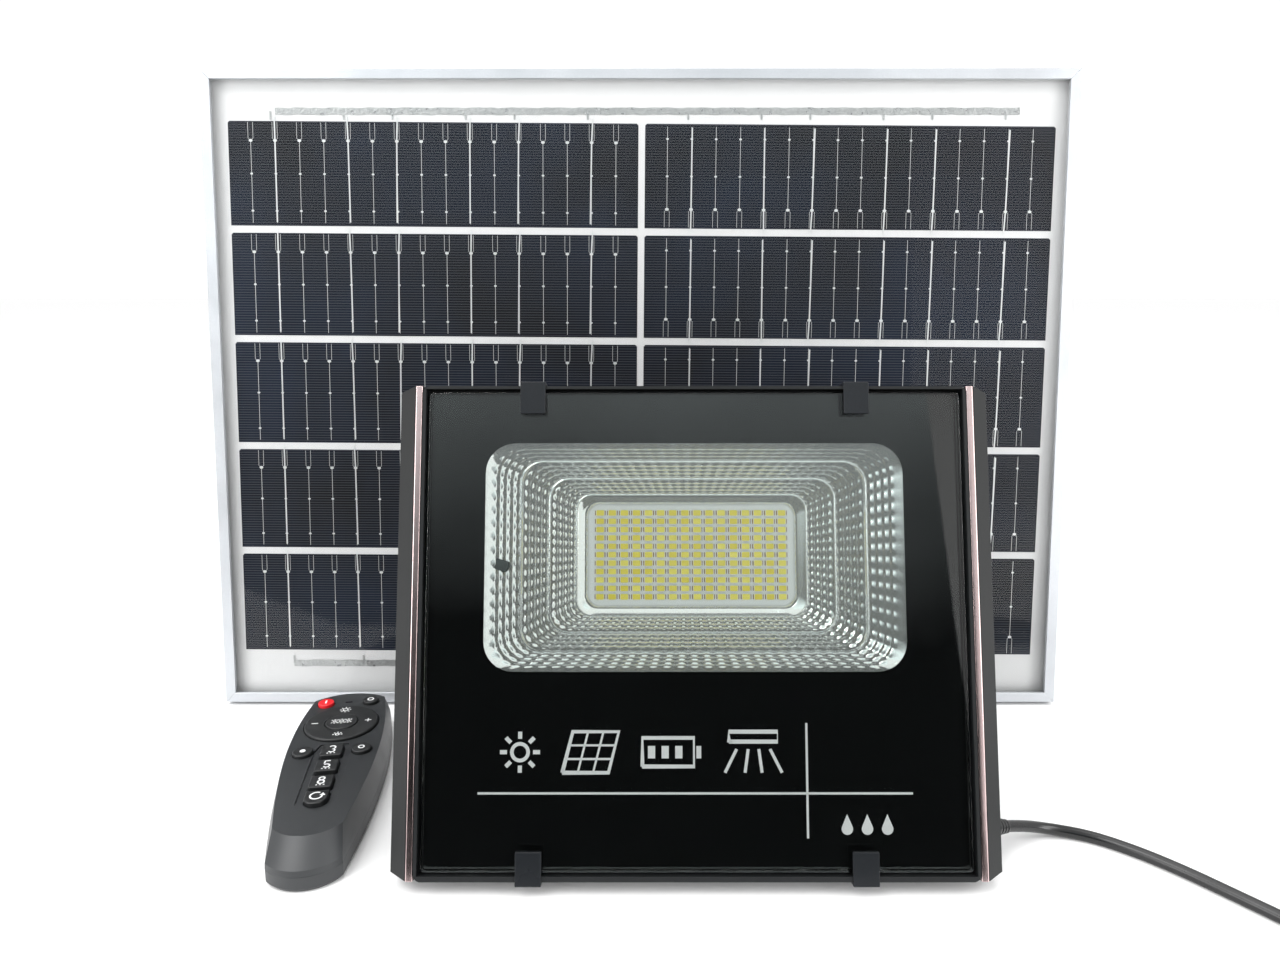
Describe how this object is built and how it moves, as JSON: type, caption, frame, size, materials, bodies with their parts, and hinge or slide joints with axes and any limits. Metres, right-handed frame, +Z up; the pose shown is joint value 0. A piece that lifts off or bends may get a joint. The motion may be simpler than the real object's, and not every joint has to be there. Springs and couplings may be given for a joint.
{
  "type": "solar flood light kit",
  "caption": "Solar flood light: a tiltable flood lamp with a reflector window, a framed solar panel on a folding leg, and a handheld remote control.",
  "frame": {"origin": "on the table, in the middle of the floor that the lamp, panel and remote take together", "axes": "+X to the viewer's right, +Y from the lamp to the panel, +Z up"},
  "size_m": [0.4498, 0.2959, 0.2853],
  "materials": {
    "housing_paint": "satin powder coat",
    "rail_plastic": "fine moulded texture",
    "bright_trim": "bright anodised",
    "toughened_glass": "polished with black printed border",
    "seal_rubber": "matte",
    "clip_steel": "black oxide",
    "reflector_silver": "vacuum metallised",
    "led_board": "white solder mask",
    "led_package": "phosphor",
    "screw_steel": "zinc",
    "receiver_epoxy": "dark epoxy",
    "circuit_board": "green solder mask",
    "cell_can": "heat-shrink sleeve",
    "holder_plastic": "moulded",
    "stainless": "stainless",
    "bracket_paint": "black powder coat",
    "gland_nylon": "moulded",
    "lead_rubber": "matte",
    "tie_plastic": "moulded",
    "connector_plastic": "moulded",
    "frame_aluminium": "clear anodised",
    "solar_glass": "clear toughened",
    "backsheet_white": "white film",
    "silicon": "textured silicon",
    "solder_ribbon": "tinned copper",
    "junction_plastic": "moulded",
    "leg_paint": "satin anodised",
    "remote_abs": "fine moulded texture",
    "coin_steel": "stainless",
    "key_rubber": "matte",
    "red_rubber": "satin"
  },
  "bodies": {
    "lamp": {"lamp_housing": "housing_paint", "side_rails": "rail_plastic", "edge_trims": "bright_trim", "front_glass": "toughened_glass", "glass_gasket": "seal_rubber", "glass_clips": "clip_steel", "reflector": "reflector_silver", "led_board": "led_board", "led_chips": "led_package", "lamp_screws": "screw_steel", "ir_receiver": "receiver_epoxy", "controller_board": "circuit_board", "battery_cells": "cell_can", "battery_holder": "holder_plastic", "rear_cover_seal": "seal_rubber", "rear_cover": "housing_paint", "breather_vent": "rail_plastic", "bracket_fasteners": "stainless", "cable_gland": "gland_nylon", "strain_relief": "lead_rubber", "cord_tube": "lead_rubber", "cord_coil": "lead_rubber", "cord_tie": "tie_plastic", "connector": "connector_plastic"},
    "panel": {"panel_end_bars": "frame_aluminium", "panel_side_bars": "frame_aluminium", "panel_corner_keys": "frame_aluminium", "panel_glass": "solar_glass", "panel_backsheet": "backsheet_white", "solar_cells": "silicon", "cell_ribbons": "solder_ribbon", "bus_ribbons": "solder_ribbon", "junction_box": "junction_plastic", "junction_box_lid": "junction_plastic", "junction_gland": "gland_nylon", "stand_rail": "frame_aluminium", "rail_screws": "screw_steel", "stand_bolt": "stainless"},
    "remote": {"remote_top_shell": "remote_abs", "remote_bottom_shell": "remote_abs", "coin_cell": "coin_steel", "remote_board": "circuit_board", "rubber_keypad": "key_rubber", "remote_ir_window": "receiver_epoxy"},
    "bracket": {"lamp_bracket": "bracket_paint"},
    "collar": {"connector_collar": "connector_plastic"},
    "stand_leg": {"stand_leg": "leg_paint"},
    "knob": {"stand_knob": "junction_plastic"},
    "cell_cover": {"battery_cover": "remote_abs"},
    "gimbal": {"ring_gimbal": "key_rubber"},
    "ring": {"navigation_ring": "key_rubber"},
    "on_key": {"on_key": "red_rubber"},
    "off_key": {"off_key": "key_rubber"},
    "centre_key": {"centre_key": "key_rubber"},
    "left_round_key": {"left_round_key": "key_rubber"},
    "right_round_key": {"right_round_key": "key_rubber"},
    "three_hour_key": {"three_hour_key": "key_rubber"},
    "five_hour_key": {"five_hour_key": "key_rubber"},
    "eight_hour_key": {"eight_hour_key": "key_rubber"},
    "auto_key": {"auto_key": "key_rubber"}
  },
  "joints": [
    {"name": "bracket_tilt", "type": "hinge", "parent": "lamp", "child": "bracket", "pos_m": [0.0184, -0.07776, 0.06403], "axis": [1, 0, 0], "range_deg": [-61.9, 86.1]},
    {"name": "collar_turn", "type": "hinge", "parent": "lamp", "child": "collar", "pos_m": [0.25086, -0.11756, 0.0065], "axis": [0, 1, 0], "continuous": true},
    {"name": "panel_lift", "type": "slide", "parent": "lamp", "child": "panel", "axis": [0, 0, 1], "range_m": [0, 0.3]},
    {"name": "leg_fold", "type": "hinge", "parent": "panel", "child": "stand_leg", "pos_m": [0, 0.0482, 0.11811], "axis": [1, 0, 0], "range_deg": [-32.5, 50]},
    {"name": "knob_turn", "type": "hinge", "parent": "panel", "child": "knob", "pos_m": [0, 0.0482, 0.11811], "axis": [1, 0, 0], "continuous": true},
    {"name": "remote_lift", "type": "slide", "parent": "lamp", "child": "remote", "axis": [0, 0, 1], "range_m": [0, 0.2]},
    {"name": "cell_cover_turn", "type": "hinge", "parent": "remote", "child": "cell_cover", "pos_m": [-0.11688, -0.08089, 0], "axis": [0, 0, 1], "range_deg": [0, 35]},
    {"name": "ring_pitch", "type": "hinge", "parent": "remote", "child": "gimbal", "pos_m": [-0.12316, -0.04037, 0.0135], "axis": [0.9882, 0.153, 0], "range_deg": [-1.5, 1.5], "stiffness_Nm_per_rad": 0.4},
    {"name": "ring_roll", "type": "hinge", "parent": "gimbal", "child": "ring", "pos_m": [-0.12316, -0.04037, 0.0135], "axis": [-0.153, 0.9882, 0], "range_deg": [-1.5, 1.5], "stiffness_Nm_per_rad": 0.4},
    {"name": "on_key_press", "type": "slide", "parent": "remote", "child": "on_key", "axis": [0, 0, -1], "range_m": [0, 0.0006], "stiffness_N_per_m": 400, "springref_m": -0.0003},
    {"name": "off_key_press", "type": "slide", "parent": "remote", "child": "off_key", "axis": [0, 0, -1], "range_m": [0, 0.0006], "stiffness_N_per_m": 400, "springref_m": -0.0003},
    {"name": "centre_key_press", "type": "slide", "parent": "remote", "child": "centre_key", "axis": [0, 0, -1], "range_m": [0, 0.0006], "stiffness_N_per_m": 400, "springref_m": -0.0003},
    {"name": "left_round_key_press", "type": "slide", "parent": "remote", "child": "left_round_key", "axis": [0, 0, -1], "range_m": [0, 0.0006], "stiffness_N_per_m": 400, "springref_m": -0.0003},
    {"name": "right_round_key_press", "type": "slide", "parent": "remote", "child": "right_round_key", "axis": [0, 0, -1], "range_m": [0, 0.0006], "stiffness_N_per_m": 400, "springref_m": -0.0003},
    {"name": "three_hour_key_press", "type": "slide", "parent": "remote", "child": "three_hour_key", "axis": [0, 0, -1], "range_m": [0, 0.0006], "stiffness_N_per_m": 400, "springref_m": -0.0003},
    {"name": "five_hour_key_press", "type": "slide", "parent": "remote", "child": "five_hour_key", "axis": [0, 0, -1], "range_m": [0, 0.0006], "stiffness_N_per_m": 400, "springref_m": -0.0003},
    {"name": "eight_hour_key_press", "type": "slide", "parent": "remote", "child": "eight_hour_key", "axis": [0, 0, -1], "range_m": [0, 0.0006], "stiffness_N_per_m": 400, "springref_m": -0.0003},
    {"name": "auto_key_press", "type": "slide", "parent": "remote", "child": "auto_key", "axis": [0, 0, -1], "range_m": [0, 0.0006], "stiffness_N_per_m": 400, "springref_m": -0.0003}
  ]
}
